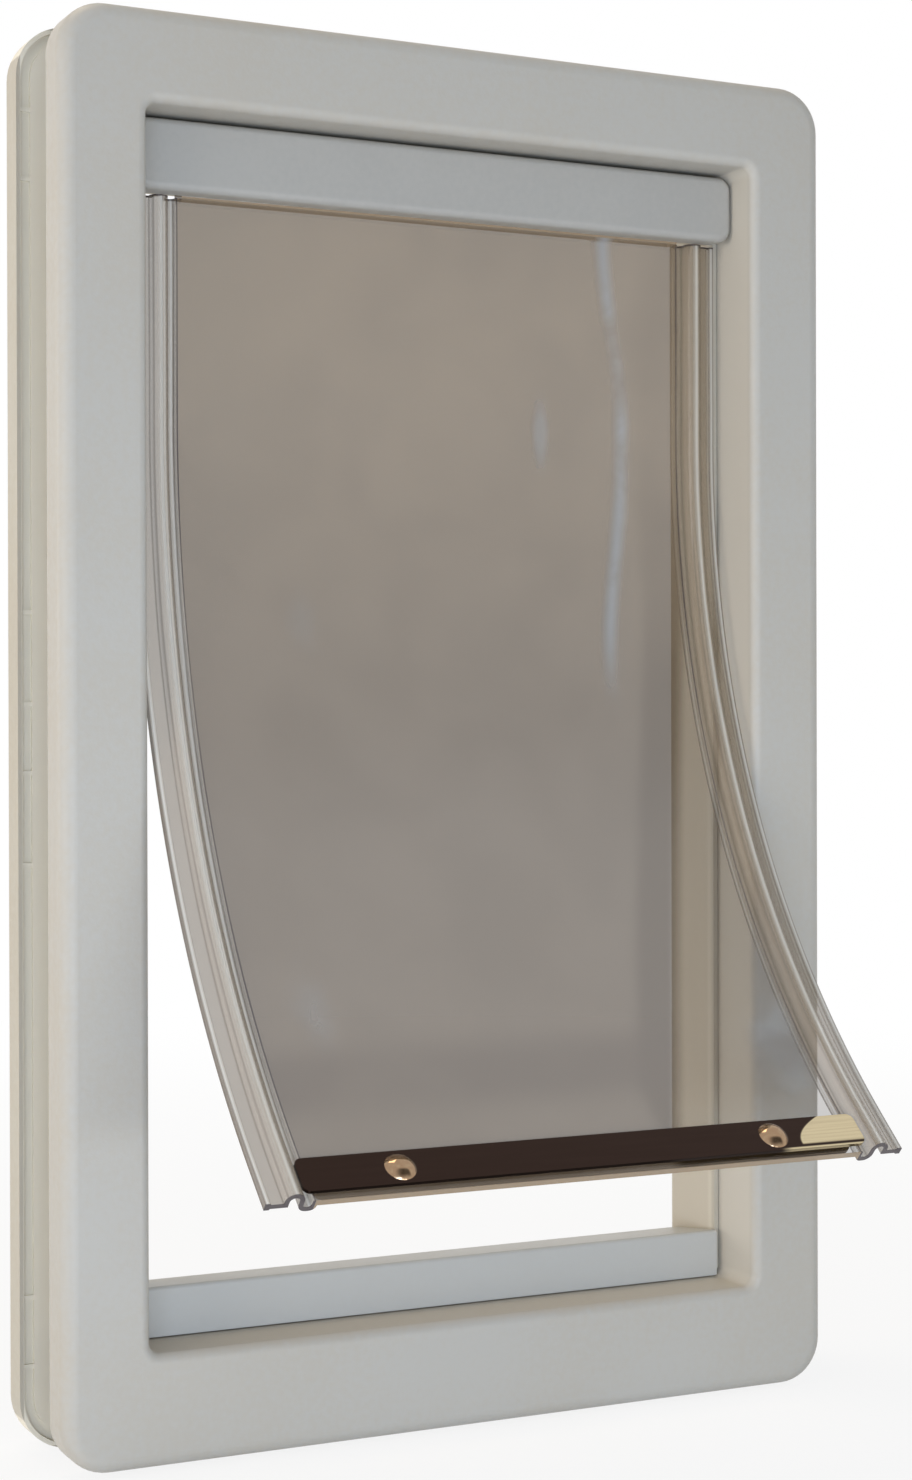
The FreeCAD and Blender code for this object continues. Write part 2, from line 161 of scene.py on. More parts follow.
class PlasticLook(bpy.types.PropertyGroup):
    """Colours and grain of the mouldings."""
    cream: tint("Cream", "Colour of the front frame", 188, 185, 178)
    rear_cream: tint("Rear cream", "Colour of the rear frame", 190, 184, 170)
    # Painted light: the rear frame's thin inner walls are paler than its cream, in place of light reaching into the
    # recess.
    thin_wall_painted_light: tint("Thin cream", "Paler tone of the rear frame's thin inner walls", 238, 232, 216)
    # Painted light: the openings' jambs are paler than the frames' cream, standing in for the light from the left
    # that falls on them.
    front_jamb_painted_light: tint("Front jamb", "Tone of the front frame's opening", 205, 199, 187)
    rear_jamb_painted_light: tint("Rear jamb", "Tone of the rear frame's opening", 203, 194, 177)
    jamb_half: length("Jamb half width", "Half of the width within which the jamb tones begin", 0.0935)
    jamb_half_height: length("Jamb half height", "Half of the height within which the jamb tones begin", 0.162)
    bar: tint("Bar", "Colour of the header bar", 173, 171, 166)
    sill: tint("Sill", "Colour of the sill bar", 190, 190, 186)
    shade: tint("Shade", "Warm tone in the mottling", 184, 172, 152)
    grain_size: length("Grain size", "Size of the pebble grain", 0.0009)
    grain_depth: length("Grain depth", "Depth of the pebble grain", 0.00006)


class MetalLook(bpy.types.PropertyGroup):
    """Colours of the metal pieces."""
    bronze: tint("Bronze", "Dark face of the weight strip", 50, 38, 33)
    # The bright end of the weight strip is a painted reflection; the same tone also lightens the brushed lines of
    # the rivets and the back strip.
    gold: tint("Gold", "Bright end of the weight strip", 205, 190, 156)
    brass: tint("Brass", "Rivet heads", 158, 130, 104)
    steel: tint("Steel", "Screws", 176, 176, 174)
    magnet: tint("Magnet", "Sill magnet", 66, 64, 62)


class StageLook(bpy.types.PropertyGroup):
    """Camera and light."""
    lens: bpy.props.FloatProperty(name="Lens", description="Focal length in millimetres", default=62.87, min=10.0)
    camera_x: length("Camera x", "Place of the camera across the door", -0.30735)
    camera_y: length("Camera y", "Place of the camera in front of the door", -0.65393)
    camera_z: length("Camera z", "Height of the camera", 0.00219)
    yaw: turn("Yaw", "Turn of the camera to the right", 26.0746)
    pitch: turn("Pitch", "Tilt of the camera", -0.2391)
    roll: turn("Roll", "Roll of the camera", -0.1390)
    ambient: share("Ambient", "Strength of the light from all sides", 0.42)
    key_power: bpy.props.FloatProperty(name="Key", description="Power of the warm light at the left", default=18.0,
                                       min=0.0, unit="POWER")
    fill_power: bpy.props.FloatProperty(name="Fill", description="Power of the cool light in front", default=2.6,
                                        min=0.0, unit="POWER")
    low_power: bpy.props.FloatProperty(name="Low", description="Power of the small light low in front",
                                       default=0.34, min=0.0, unit="POWER")
    back_power: bpy.props.FloatProperty(name="Back", description="Power of the warm light behind", default=2.6,
                                        min=0.0, unit="POWER")
    top_power: bpy.props.FloatProperty(name="Top", description="Power of the warm light above", default=7.0,
                                       min=0.0, unit="POWER")


# Shader nodes

def place(tree, kind, inputs=None, **settings):
    """Adds a node: a plain input value is set on its socket, and a socket is linked to it."""
    made = tree.nodes.new(kind)
    for name, value in settings.items():
        setattr(made, name, value)
    for name, value in (inputs or {}).items():
        if isinstance(value, bpy.types.NodeSocket):
            tree.links.new(value, made.inputs[name])
        else:
            made.inputs[name].default_value = value
    return made


def calc(tree, operation, first, second=0.0, third=0.0):
    made = place(tree, "ShaderNodeMath", {0: first, 1: second, 2: third}, operation=operation)
    return made.outputs[0]


def remap(tree, value, low, high, to_low=0.0, to_high=1.0, smooth=True):
    kind = "SMOOTHSTEP" if smooth else "LINEAR"
    made = place(tree, "ShaderNodeMapRange", {"Value": value, "From Min": low, "From Max": high, "To Min": to_low,
                                              "To Max": to_high}, interpolation_type=kind)
    return made.outputs["Result"]


def blend_colour(tree, factor, first, second):
    made = tree.nodes.new("ShaderNodeMix")
    made.data_type = "RGBA"
    for index, value in ((0, factor), (6, first), (7, second)):
        if isinstance(value, bpy.types.NodeSocket):
            tree.links.new(value, made.inputs[index])
        elif index:
            made.inputs[index].default_value = (*value, 1.0)
        else:
            made.inputs[index].default_value = value
    return made.outputs[2]


def new_group(name, inputs, outputs):
    tree = bpy.data.node_groups.new(name, "ShaderNodeTree")
    for label, kind, default in inputs:
        socket = tree.interface.new_socket(label, in_out="INPUT", socket_type=kind)
        if default is not None:
            socket.default_value = default
    for label, kind in outputs:
        tree.interface.new_socket(label, in_out="OUTPUT", socket_type=kind)
    return tree, tree.nodes.new("NodeGroupInput"), tree.nodes.new("NodeGroupOutput")


def ramp(tree, value, stops):
    """Colour and alpha along a value, from stops of a place and a colour with its alpha."""
    made = place(tree, "ShaderNodeValToRGB", {"Fac": value})
    elements = made.color_ramp.elements
    elements[0].position, elements[0].color = stops[0]
    elements[1].position, elements[1].color = stops[-1]
    for spot, colour in stops[1:-1]:
        elements.new(spot).color = colour
    return made.outputs["Color"], made.outputs["Alpha"]


def pebble_group():
    """Fine moulded grain and a broad mottling, from a position in metres."""
    number = "NodeSocketFloat"
    tree, source, result = new_group(
        "pebble_grain",
        [("Vector", "NodeSocketVector", None), ("Grain", number, 1100.0), ("Mottle", number, 22.0)],
        [("Height", number), ("Tone", number)])
    vector, grain, mottle = source.outputs[:3]
    fine = place(tree, "ShaderNodeTexNoise", {"Vector": vector, "Scale": grain, "Detail": 3.0, "Roughness": 0.6})
    cells = place(tree, "ShaderNodeTexVoronoi", {"Vector": vector, "Scale": grain, "Smoothness": 0.8},
                  feature="SMOOTH_F1")
    height = calc(tree, "ADD", calc(tree, "MULTIPLY", cells.outputs["Distance"], 0.7), fine.outputs["Fac"])
    broad = place(tree, "ShaderNodeTexNoise", {"Vector": vector, "Scale": mottle, "Detail": 2.0})
    speck = place(tree, "ShaderNodeTexNoise", {"Vector": vector, "Scale": calc(tree, "MULTIPLY", grain, 0.5),
                                               "Detail": 1.0})
    tone = calc(tree, "ADD", calc(tree, "MULTIPLY", broad.outputs["Fac"], 0.6),
                calc(tree, "MULTIPLY", speck.outputs["Fac"], 0.4))
    tree.links.new(height, result.inputs["Height"])
    tree.links.new(tone, result.inputs["Tone"])
    return tree


def patch_group():
    """Soft ragged patch on the flap, from a place given across and down it in metres."""
    number = "NodeSocketFloat"
    tree, source, result = new_group(
        "soft_patch",
        [("Vector", "NodeSocketVector", None), ("Across", number, 0.0), ("Down", number, 0.0),
         ("Half Width", number, 0.02), ("Half Height", number, 0.02), ("Ragged", number, 0.5)],
        [("Mask", number)])
    vector, across, down, width, height, ragged = source.outputs[:6]
    parts = place(tree, "ShaderNodeSeparateXYZ", {0: vector})
    x = calc(tree, "DIVIDE", calc(tree, "SUBTRACT", parts.outputs[0], across), width)
    y = calc(tree, "DIVIDE", calc(tree, "SUBTRACT", parts.outputs[1], down), height)
    reach = calc(tree, "SQRT", calc(tree, "ADD", calc(tree, "MULTIPLY", x, x), calc(tree, "MULTIPLY", y, y)))
    noise = place(tree, "ShaderNodeTexNoise", {"Vector": vector, "Scale": 60.0, "Detail": 4.0})
    wander = calc(tree, "MULTIPLY", calc(tree, "SUBTRACT", noise.outputs["Fac"], 0.5), ragged)
    mask = remap(tree, calc(tree, "ADD", reach, wander), 1.0, 0.2)
    tree.links.new(mask, result.inputs["Mask"])
    return tree


def new_material(name):
    made = bpy.data.materials.new(name)
    made.use_nodes = True
    tree = made.node_tree
    tree.nodes.clear()
    return made, tree


def finish_material(tree, shader):
    output = tree.nodes.new("ShaderNodeOutputMaterial")
    tree.links.new(shader.outputs["BSDF"], output.inputs["Surface"])


def object_position(tree):
    return tree.nodes.new("ShaderNodeTexCoord").outputs["Object"]


def inner_walls(tree, position, low, high):
    """Mask of everything within a moulding's outer rim and face, or within any other box. It places the painted
    light on inner walls and jambs.
    """
    parts = place(tree, "ShaderNodeSeparateXYZ", {0: position}).outputs
    across = remap(tree, calc(tree, "ABSOLUTE", parts[0]), high.x - 0.0009, high.x - 0.0013)
    up = remap(tree, calc(tree, "ABSOLUTE", parts[2]), high.z - 0.0009, high.z - 0.0013)
    back = remap(tree, parts[1], high.y - 0.0009, high.y - 0.0016)
    front = remap(tree, parts[1], low.y + 0.0002, low.y + 0.004)
    return calc(tree, "MULTIPLY", calc(tree, "MULTIPLY", across, up), calc(tree, "MULTIPLY", back, front))


def moulded_plastic(name, colour, shade, look, roughness=0.42, grain=1.0, inside=()):
    """Opaque moulded plastic with a pebble grain and a faint mottling. Each box inside has its own tone, a paler
    painted light on the walls it holds.
    """
    made, tree = new_material(name)
    position = object_position(tree)
    effect = place(tree, "ShaderNodeGroup", node_tree=bpy.data.node_groups["pebble_grain"])
    tree.links.new(position, effect.inputs["Vector"])
    effect.inputs["Grain"].default_value = 1.0 / look.grain_size
    amount = remap(tree, effect.outputs["Tone"], 0.35, 0.7, 0.0, 0.3)
    base = blend_colour(tree, amount, tuple(colour), tuple(shade))
    for low, high, tone in inside:
        base = blend_colour(tree, inner_walls(tree, position, low, high), base, tuple(tone))
    rough = remap(tree, effect.outputs["Tone"], 0.3, 0.7, roughness - 0.05, roughness + 0.08, smooth=False)
    bump = place(tree, "ShaderNodeBump", {"Height": effect.outputs["Height"], "Strength": 0.35 * grain,
                                          "Distance": look.grain_depth})
    shader = place(tree, "ShaderNodeBsdfPrincipled", {"Base Color": base, "Roughness": rough,
                                                      "Normal": bump.outputs["Normal"],
                                                      "Specular IOR Level": 0.35})
    finish_material(tree, shader)
    return made


def brushed_metal(name, colour, second, roughness=0.2, mask=None, grain=(40.0, 1500.0, 1500.0)):
    """Metal with fine brushed lines. The mask, where there is one, paints a reflection, turning the colour to the
    second tone.
    """
    made, tree = new_material(name)
    position = object_position(tree)
    stretched = place(tree, "ShaderNodeMapping", {"Vector": position, "Scale": grain})
    lines = place(tree, "ShaderNodeTexNoise", {"Vector": stretched.outputs[0], "Scale": 1.0, "Detail": 3.0})
    amount = remap(tree, lines.outputs["Fac"], 0.35, 0.75, 0.0, 0.18)
    if mask is None:
        base = blend_colour(tree, amount, colour, second)
    else:
        bright = blend_colour(tree, calc(tree, "MULTIPLY", amount, 2.5), second, tuple(c * 0.7 for c in second))
        dull = blend_colour(tree, amount, colour, tuple(c * 1.6 for c in colour))
        base = blend_colour(tree, mask(tree, position), dull, bright)
    rough = remap(tree, lines.outputs["Fac"], 0.3, 0.7, roughness - 0.05, roughness + 0.05, smooth=False)
    bump = place(tree, "ShaderNodeBump", {"Height": lines.outputs["Fac"], "Strength": 0.12, "Distance": 0.00002})
    shader = place(tree, "ShaderNodeBsdfPrincipled", {"Base Color": base, "Roughness": rough, "Metallic": 1.0,
                                                      "Normal": bump.outputs["Normal"]})
    finish_material(tree, shader)
    return made


def painted_reflection_mask(size):
    """Mask of the strip's painted reflection: a bright patch at its end with a slanting, hollowed side, and a thin
    painted highlight line along the bottom.
    """
    centre = (STRIP_LOW + STRIP_HIGH) / 2
    upward = Vector((0.0, math.sin(size.bend_angle), math.cos(size.bend_angle)))

    def build(tree, position):
        off = place(tree, "ShaderNodeVectorMath", {0: position, 1: centre}, operation="SUBTRACT").outputs[0]
        rise = place(tree, "ShaderNodeVectorMath", {0: off, 1: upward}, operation="DOT_PRODUCT").outputs["Value"]
        across = place(tree, "ShaderNodeSeparateXYZ", {0: position}).outputs[0]
        climb = remap(tree, rise, -0.003, 0.005, 0.0, 1.0, smooth=False)
        side = calc(tree, "ADD", 0.0592, calc(tree, "MULTIPLY", calc(tree, "MULTIPLY", climb, climb), 0.0085))
        reflection_patch = calc(tree, "MULTIPLY", remap(tree, calc(tree, "SUBTRACT", across, side), -0.0003, 0.0003),
                          remap(tree, rise, -0.0038, -0.0032))
        highlight_line = calc(tree, "MULTIPLY", remap(tree, rise, -0.0042, -0.0046), remap(tree, across, 0.052, 0.056))
        return calc(tree, "MAXIMUM", reflection_patch, highlight_line)

    return build


def patch(tree, vector, across, down, half_width, half_height, ragged):
    made = place(tree, "ShaderNodeGroup", node_tree=bpy.data.node_groups["soft_patch"])
    tree.links.new(vector, made.inputs["Vector"])
    for label, value in (("Across", across), ("Down", down), ("Half Width", half_width),
                         ("Half Height", half_height), ("Ragged", ragged)):
        made.inputs[label].default_value = value
    return made.outputs["Mask"]


def profile_stops(size, look):
    """Stops across a side profile, outwards from the panel: thin dark lines at its folds, and painted highlights on
    the bright ridges between.
    """
    channel, arch = 2 * size.channel_radius, 2 * size.arch_radius
    width = channel + arch + size.wing_width
    clear, bright, dark = look.profile_cover, look.profile_cover + 0.2, 0.88
    middle, ridge_highlight, edge = tuple(look.profile), tuple(look.ridge_highlight), tuple(look.edge)
    fold = tuple((a + b) / 2 for a, b in zip(middle, edge))
    marks = [
        (0.0, edge, dark), (0.0002, edge, dark), (0.0005, middle, clear), (0.0010, ridge_highlight, bright),
        (0.0018, middle, clear),
        (channel - 0.0004, middle, clear), (channel, fold, clear + 0.2), (channel + 0.0004, middle, clear),
        (channel + arch / 2 - 0.0010, middle, clear), (channel + arch / 2, ridge_highlight, bright),
        (channel + arch / 2 + 0.0010, middle, clear), (channel + arch - 0.0003, middle, clear),
        (channel + arch, fold, clear + 0.25), (channel + arch + 0.0004, middle, clear),
        (width - 0.0016, middle, clear), (width - 0.0007, ridge_highlight, bright), (width, fold, clear + 0.3),
    ]
    return [(spot / width, (*colour, hide)) for spot, colour, hide in marks]


def vinyl_material(size, look):
    """Smoky clear vinyl: a veil over most of the panel, a clear zone low at the right, dark cut edges, and painted
    highlights: a pale streak, pale patches and bright ridges on the side profiles.

    Its pattern follows the UV map flat: metres across and down the flap.
    """
    made, tree = new_material("smoky_vinyl")
    flat = place(tree, "ShaderNodeUVMap", uv_map="flat").outputs["UV"]
    parts = place(tree, "ShaderNodeSeparateXYZ", {0: flat})
    across, down = parts.outputs[0], parts.outputs[1]
    curl = calc(tree, "POWER", remap(tree, down, 0.10, 0.25, 0.0, 1.0, smooth=False), 1.4)
    veil_side = calc(tree, "SUBTRACT", 0.064, calc(tree, "MULTIPLY", curl, 0.041))
    veil = remap(tree, calc(tree, "SUBTRACT", veil_side, across), -0.0015, 0.004)
    cloud = place(tree, "ShaderNodeTexNoise", {"Vector": flat, "Scale": 28.0, "Detail": 5.0, "Distortion": 0.6})
    slope = calc(tree, "SUBTRACT", CLEAR_SLOPE, calc(tree, "MULTIPLY", down, CLEAR_CURVE))
    clear_side = calc(tree, "ADD", CLEAR_START, calc(tree, "MULTIPLY", down, slope))
    clear = remap(tree, calc(tree, "SUBTRACT", across, clear_side), -0.0012, 0.0045)
    haze_cover = remap(tree, clear, 0.0, 1.0, look.cover, look.clear_cover, smooth=False)
    veil = calc(tree, "MULTIPLY", veil, remap(tree, cloud.outputs["Fac"], 0.3, 0.7, 0.7, 1.0))
    base = blend_colour(tree, veil, tuple(look.body), tuple(look.veil))
    upper = calc(tree, "MULTIPLY", remap(tree, down, 0.17, 0.03),
                 remap(tree, cloud.outputs["Fac"], 0.2, 0.7, 0.6, 1.0))
    base = blend_colour(tree, calc(tree, "MULTIPLY", upper, 0.8), base, tuple(look.haze))
    # Painted highlight: a pale streak down the panel where light glints off the vinyl, fading out lower down.
    highlight_streak_side = calc(tree, "SUBTRACT", remap(tree, down, 0.0, 0.055, 0.0515, 0.0575),
                       remap(tree, down, 0.065, 0.135, 0.0, 0.009))
    off = calc(tree, "ABSOLUTE", calc(tree, "SUBTRACT", across, highlight_streak_side))
    highlight_streak = calc(tree, "MULTIPLY", remap(tree, off, 0.0038, 0.0), remap(tree, down, 0.14, 0.11))
    highlight_streak = calc(tree, "MULTIPLY", highlight_streak, remap(tree, cloud.outputs["Fac"], 0.35, 0.6, 0.15, 0.6))
    highlight_mark = highlight_streak
    # Painted highlight patches, pale where light glints off the vinyl; they also hide a little more of what lies
    # behind.
    for *shape, strength in HIGHLIGHT_MARKS:
        highlight_mark = calc(tree, "MAXIMUM", highlight_mark, calc(tree, "MULTIPLY", patch(tree, flat, *shape), strength))
    base = blend_colour(tree, highlight_mark, base, tuple(look.highlight_streak))
    # Brown band just above the metal strip, broken up by the cloud noise.
    brown_band = calc(tree, "MULTIPLY", remap(tree, down, 0.228, 0.240), remap(tree, down, 0.258, 0.246))
    brown_band = calc(tree, "MULTIPLY", brown_band, remap(tree, cloud.outputs["Fac"], 0.2, 0.6, 0.3, 0.75))
    base = blend_colour(tree, brown_band, base, tuple(look.brown_band))
    side = calc(tree, "ABSOLUTE", across)
    profile = remap(tree, side, size.panel_half - 0.0001, size.panel_half + 0.0001)
    width = 2 * (size.channel_radius + size.arch_radius) + size.wing_width
    drawn = place(tree, "ShaderNodeMapping", {"Vector": flat, "Scale": (900.0, 12.0, 1.0)})
    lines = place(tree, "ShaderNodeTexNoise", {"Vector": drawn.outputs[0], "Scale": 1.0, "Detail": 2.0})
    wander = calc(tree, "MULTIPLY", calc(tree, "SUBTRACT", lines.outputs["Fac"], 0.5), 0.0006)
    spread = calc(tree, "ADD", calc(tree, "SUBTRACT", side, size.panel_half), wander)
    # Tones across the side profiles, with painted highlights on their ridges.
    tone, hold = ramp(tree, calc(tree, "DIVIDE", spread, width), profile_stops(size, look))
    base = blend_colour(tree, profile, base, tone)
    end = flap_length(size)
    cut = calc(tree, "MAXIMUM", remap(tree, down, end - 0.0004, end - 0.0001),
               remap(tree, down, 0.0019, 0.0016))
    base = blend_colour(tree, cut, base, blend_colour(tree, profile, tuple(look.haze), tuple(look.edge)))
    panel_cover = calc(tree, "ADD", calc(tree, "MULTIPLY", highlight_mark, 0.2), haze_cover)
    cover = calc(tree, "ADD", calc(tree, "MULTIPLY", hold, profile),
                 calc(tree, "MULTIPLY", panel_cover, calc(tree, "SUBTRACT", 1.0, profile)))
    cover = calc(tree, "MAXIMUM", cover, calc(tree, "MULTIPLY", cut, 0.95))
    waves = place(tree, "ShaderNodeTexNoise", {"Vector": flat, "Scale": 26.0, "Detail": 1.0})
    bump = place(tree, "ShaderNodeBump", {"Height": waves.outputs["Fac"], "Strength": 0.1, "Distance": 0.001})
    shader = place(tree, "ShaderNodeBsdfPrincipled", {"Base Color": base, "Alpha": cover, "IOR": 1.53,
                                                      "Roughness": look.gloss_roughness,
                                                      "Normal": bump.outputs["Normal"]})
    finish_material(tree, shader)
    return made


# Shapes

def section_corners(size):
    """Corners of the section's right half from the panel's front round to its back, each with its rounding."""
    half_wall = size.profile_wall / 2
    face, tip = size.panel_wall / 2, size.tip_wall / 2
    channel_in, channel_out = size.channel_radius - half_wall, size.channel_radius + half_wall
    arch_in, arch_out = size.arch_radius - half_wall, size.arch_radius + half_wall
    channel_x = size.panel_half + size.channel_radius
    arch_x = channel_x + size.channel_radius + size.arch_radius
    end_x = arch_x + size.arch_radius + size.wing_width
    tip_x = end_x - size.tip_width
    channel_top, channel_back = size.channel_leg + channel_in, size.channel_leg + channel_out
    arch_y = -half_wall - size.arch_leg
    fine = half_wall / 2
    almost = 0.98
    return [
        (channel_x - channel_in, -face, fine),
        (channel_x - channel_in, channel_top, channel_in * almost),
        (channel_x + channel_in, channel_top, channel_in * almost),
        (channel_x + channel_in, arch_y - arch_out, arch_out * almost),
        (arch_x + arch_out, arch_y - arch_out, arch_out * almost),
        (arch_x + arch_out, -half_wall, fine),
        (tip_x, -half_wall, 0.0),
        (tip_x, -tip, fine / 2),
        (end_x, -tip, fine),
        (end_x, tip, fine),
        (tip_x, tip, fine / 2),
        (tip_x, half_wall, 0.0),
        (arch_x + arch_in, half_wall, fine),
        (arch_x + arch_in, arch_y - arch_in, arch_in * almost),
        (arch_x - arch_in, arch_y - arch_in, arch_in * almost),
        (channel_x + channel_out, channel_back, channel_out * almost),
        (channel_x - channel_out, channel_back, size.channel_radius * almost),
        (channel_x - channel_out, face, fine),
    ]


def flap_length(size):
    """Length from the hinge line down the curl to the lower edge."""
    return size.straight + size.bend_radius * size.bend_angle + size.tail


def on_flap(size, point):
    """Place of a point across and down the flap, and the turn of the curl there."""
    bend_z = size.hinge_height - size.straight
    if point.z > bend_z:
        return point.x, size.hinge_height - point.z, 0.0
    spoke = Vector((0.0, point.y - (size.hinge_depth - size.bend_radius), point.z - bend_z))
    angle = math.atan2(-spoke.z, spoke.y)
    if angle < size.bend_angle:
        return point.x, size.straight + size.bend_radius * angle, angle
    along = Vector((0.0, -math.sin(size.bend_angle), -math.cos(size.bend_angle)))
    down = size.straight + size.bend_radius * size.bend_angle + spoke.dot(along)
    return point.x, down, size.bend_angle


def ripple_panel(bm, size):
    """Faint standing waves in the panel, fading out at its edges."""
    end = flap_length(size)
    for vert in bm.verts:
        across, down, angle = on_flap(size, vert.co)
        side = min(1.0, max(0.0, (size.panel_half - 0.004 - abs(across)) / 0.015))
        ends = min(1.0, max(0.0, (down - 0.01) / 0.03), max(0.0, (end - 0.022 - down) / 0.03))
        wave = math.sin(across * 150 + 1.3 * math.sin(down * 38)) + 0.6 * math.sin(down * 60 + across * 40)
        shift = size.ripple * side * max(0.0, ends) * wave
        vert.co += Vector((0.0, math.cos(angle), -math.sin(angle))) * shift


def flap_body(size, top):
    """Panel and side profiles in one shell: a rounded section carried down and round the curl."""
    bm = bmesh.new()
    right = section_corners(size)
    corners = right + [(-x, y, radius) for x, y, radius in reversed(right)]
    verts = [bm.verts.new((x, size.hinge_depth + y, top)) for x, y, radius in corners]
    bm.faces.new(verts)
    for radius in sorted({corner[2] for corner in corners} - {0.0}, reverse=True):
        chosen = [v for v, corner in zip(verts, corners) if corner[2] == radius]
        bmesh.ops.bevel(bm, geom=chosen, offset=radius, offset_type="OFFSET", segments=5, profile=0.5,
                        affect="VERTICES", material=-1, clamp_overlap=True)
    bmesh.ops.remove_doubles(bm, verts=bm.verts, dist=1e-6)
    wide = [e for e in bm.edges if e.calc_length() > size.panel_half]
    bmesh.ops.bisect_edges(bm, edges=wide, cuts=PANEL_CUTS)
    ring = list(bm.edges)
    bend_z = size.hinge_height - size.straight
    for row in range(STRAIGHT_ROWS):
        grown = bmesh.ops.extrude_edge_only(bm, edges=ring)["geom"]
        moved = {g for g in grown if isinstance(g, bmesh.types.BMVert)}
        bmesh.ops.translate(bm, verts=list(moved), vec=(0.0, 0.0, (bend_z - top) / STRAIGHT_ROWS))
        ring = [g for g in grown if isinstance(g, bmesh.types.BMEdge) and all(v in moved for v in g.verts)]
    ends = list({v for e in ring for v in e.verts})
    turned = bmesh.ops.spin(bm, geom=ends + ring, cent=(0.0, size.hinge_depth - size.bend_radius, bend_z),
                            axis=(-1.0, 0.0, 0.0), dvec=(0.0, 0.0, 0.0), angle=size.bend_angle, steps=CURL_STEPS,
                            use_merge=False, use_normal_flip=False, use_duplicate=False)["geom_last"]
    ring = [g for g in turned if isinstance(g, bmesh.types.BMEdge)]
    tangent = Vector((0.0, -math.sin(size.bend_angle), -math.cos(size.bend_angle))) * size.tail
    grown = bmesh.ops.extrude_edge_only(bm, edges=ring)["geom"]
    moved = {g for g in grown if isinstance(g, bmesh.types.BMVert)}
    bmesh.ops.translate(bm, verts=list(moved), vec=tangent)
    last = [g for g in grown if isinstance(g, bmesh.types.BMEdge) and all(v in moved for v in g.verts)]
    bmesh.ops.edgeloop_fill(bm, edges=last)
    ripple_panel(bm, size)
    bmesh.ops.recalc_face_normals(bm, faces=bm.faces)
    return bm


def flap_bead(size):
    """Bead along the flap's top, which the bar clamps."""
    bm = bmesh.new()
    half = size.panel_half - 0.0006
    bmesh.ops.create_cone(bm, cap_ends=True, segments=40, radius1=size.bead_radius, radius2=size.bead_radius,
                          depth=2 * half)
    bmesh.ops.rotate(bm, verts=bm.verts, cent=(0.0, 0.0, 0.0), matrix=Matrix.Rotation(math.pi / 2, 3, "Y"))
    bmesh.ops.translate(bm, verts=bm.verts, vec=(0.0, size.hinge_depth, size.hinge_height))
    return bm


def mesh_from(bm, name):
    mesh = bpy.data.meshes.new(name)
    bm.to_mesh(mesh)
    bm.free()
    return mesh


def joined(first, second, name):
    """One closed shell from two overlapping ones."""
    body = bpy.data.objects.new(name, first)
    tool = bpy.data.objects.new(name + "_tool", second)
    for made in (body, tool):
        bpy.context.scene.collection.objects.link(made)
    union = body.modifiers.new("union", "BOOLEAN")
    union.operation = "UNION"
    union.solver = "EXACT"
    union.object = tool
    bpy.context.view_layer.update()
    finished = bpy.data.meshes.new_from_object(body.evaluated_get(bpy.context.evaluated_depsgraph_get()))
    body.modifiers.clear()
    body.data = finished
    bpy.data.objects.remove(tool)
    return body


def soften(mesh, size):
    """Smooth shading with sharp edges kept, and the flat coordinates of the flap as a UV map."""
    bm = bmesh.new()
    bm.from_mesh(mesh)
    flat = bm.loops.layers.uv.new("flat")
    for face in bm.faces:
        face.smooth = True
        for loop in face.loops:
            loop[flat].uv = on_flap(size, loop.vert.co)[:2]
    for edge in bm.edges:
        edge.smooth = edge.is_manifold and edge.calc_face_angle(0.0) < SHARP_ANGLE
    bm.to_mesh(mesh)
    bm.free()


def dress(names, material):
    """Puts a material on every slot of the named nodes."""
    for name in names:
        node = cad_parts[name]
        if not node.material_slots:
            node.data.materials.append(material)
        for slot in node.material_slots:
            slot.material = material


# Steps

class CATFLAP_OT_effects(bpy.types.Operator):
    """Make the shared grain and haze effects"""
    bl_idname = "catflap.effects"
    bl_label = "Effects"

    def execute(self, context):
        pebble_group()
        patch_group()
        return {"FINISHED"}


class CATFLAP_OT_frames(bpy.types.Operator):
    """Finish the front and rear frames in grained cream plastic, with painted light on their inner walls and jambs
    """
    bl_idname = "catflap.frames"
    bl_label = "Frames"

    def execute(self, context):
        look = context.scene.catflap_plastic
        front_low, front_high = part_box("front_frame")
        rear_low, rear_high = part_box("rear_frame")
        reach = Vector((look.jamb_half, 0.0, look.jamb_half_height))
        # Paler tones painted in the openings and in the rear frame's hollow stand in for light.
        front_jamb_painted_light = (front_low, Vector((reach.x, front_high.y, reach.z)), look.front_jamb_painted_light)
        rear_jamb_painted_light = (rear_low, Vector((reach.x, rear_high.y, reach.z)), look.rear_jamb_painted_light)
        dress(["front_frame"], moulded_plastic("cream_plastic", look.cream, look.shade, look, inside=[front_jamb_painted_light]))
        hollow_painted_light = (rear_low, rear_high, look.thin_wall_painted_light)
        dress(["rear_frame"], moulded_plastic("rear_cream_plastic", look.rear_cream, look.shade, look,
                                              inside=[hollow_painted_light, rear_jamb_painted_light]))
        return {"FINISHED"}


class CATFLAP_OT_bars(bpy.types.Operator):
    """Finish the header bar and the sill bar in smoother plastic"""
    bl_idname = "catflap.bars"
    bl_label = "Bars"

    def execute(self, context):
        look = context.scene.catflap_plastic
        dress(["header_bar"], moulded_plastic("bar_plastic", look.bar, look.cream, look, 0.34, 0.4))
        dress(["sill_bar"], moulded_plastic("sill_plastic", look.sill, look.cream, look, 0.36, 0.5))
        return {"FINISHED"}


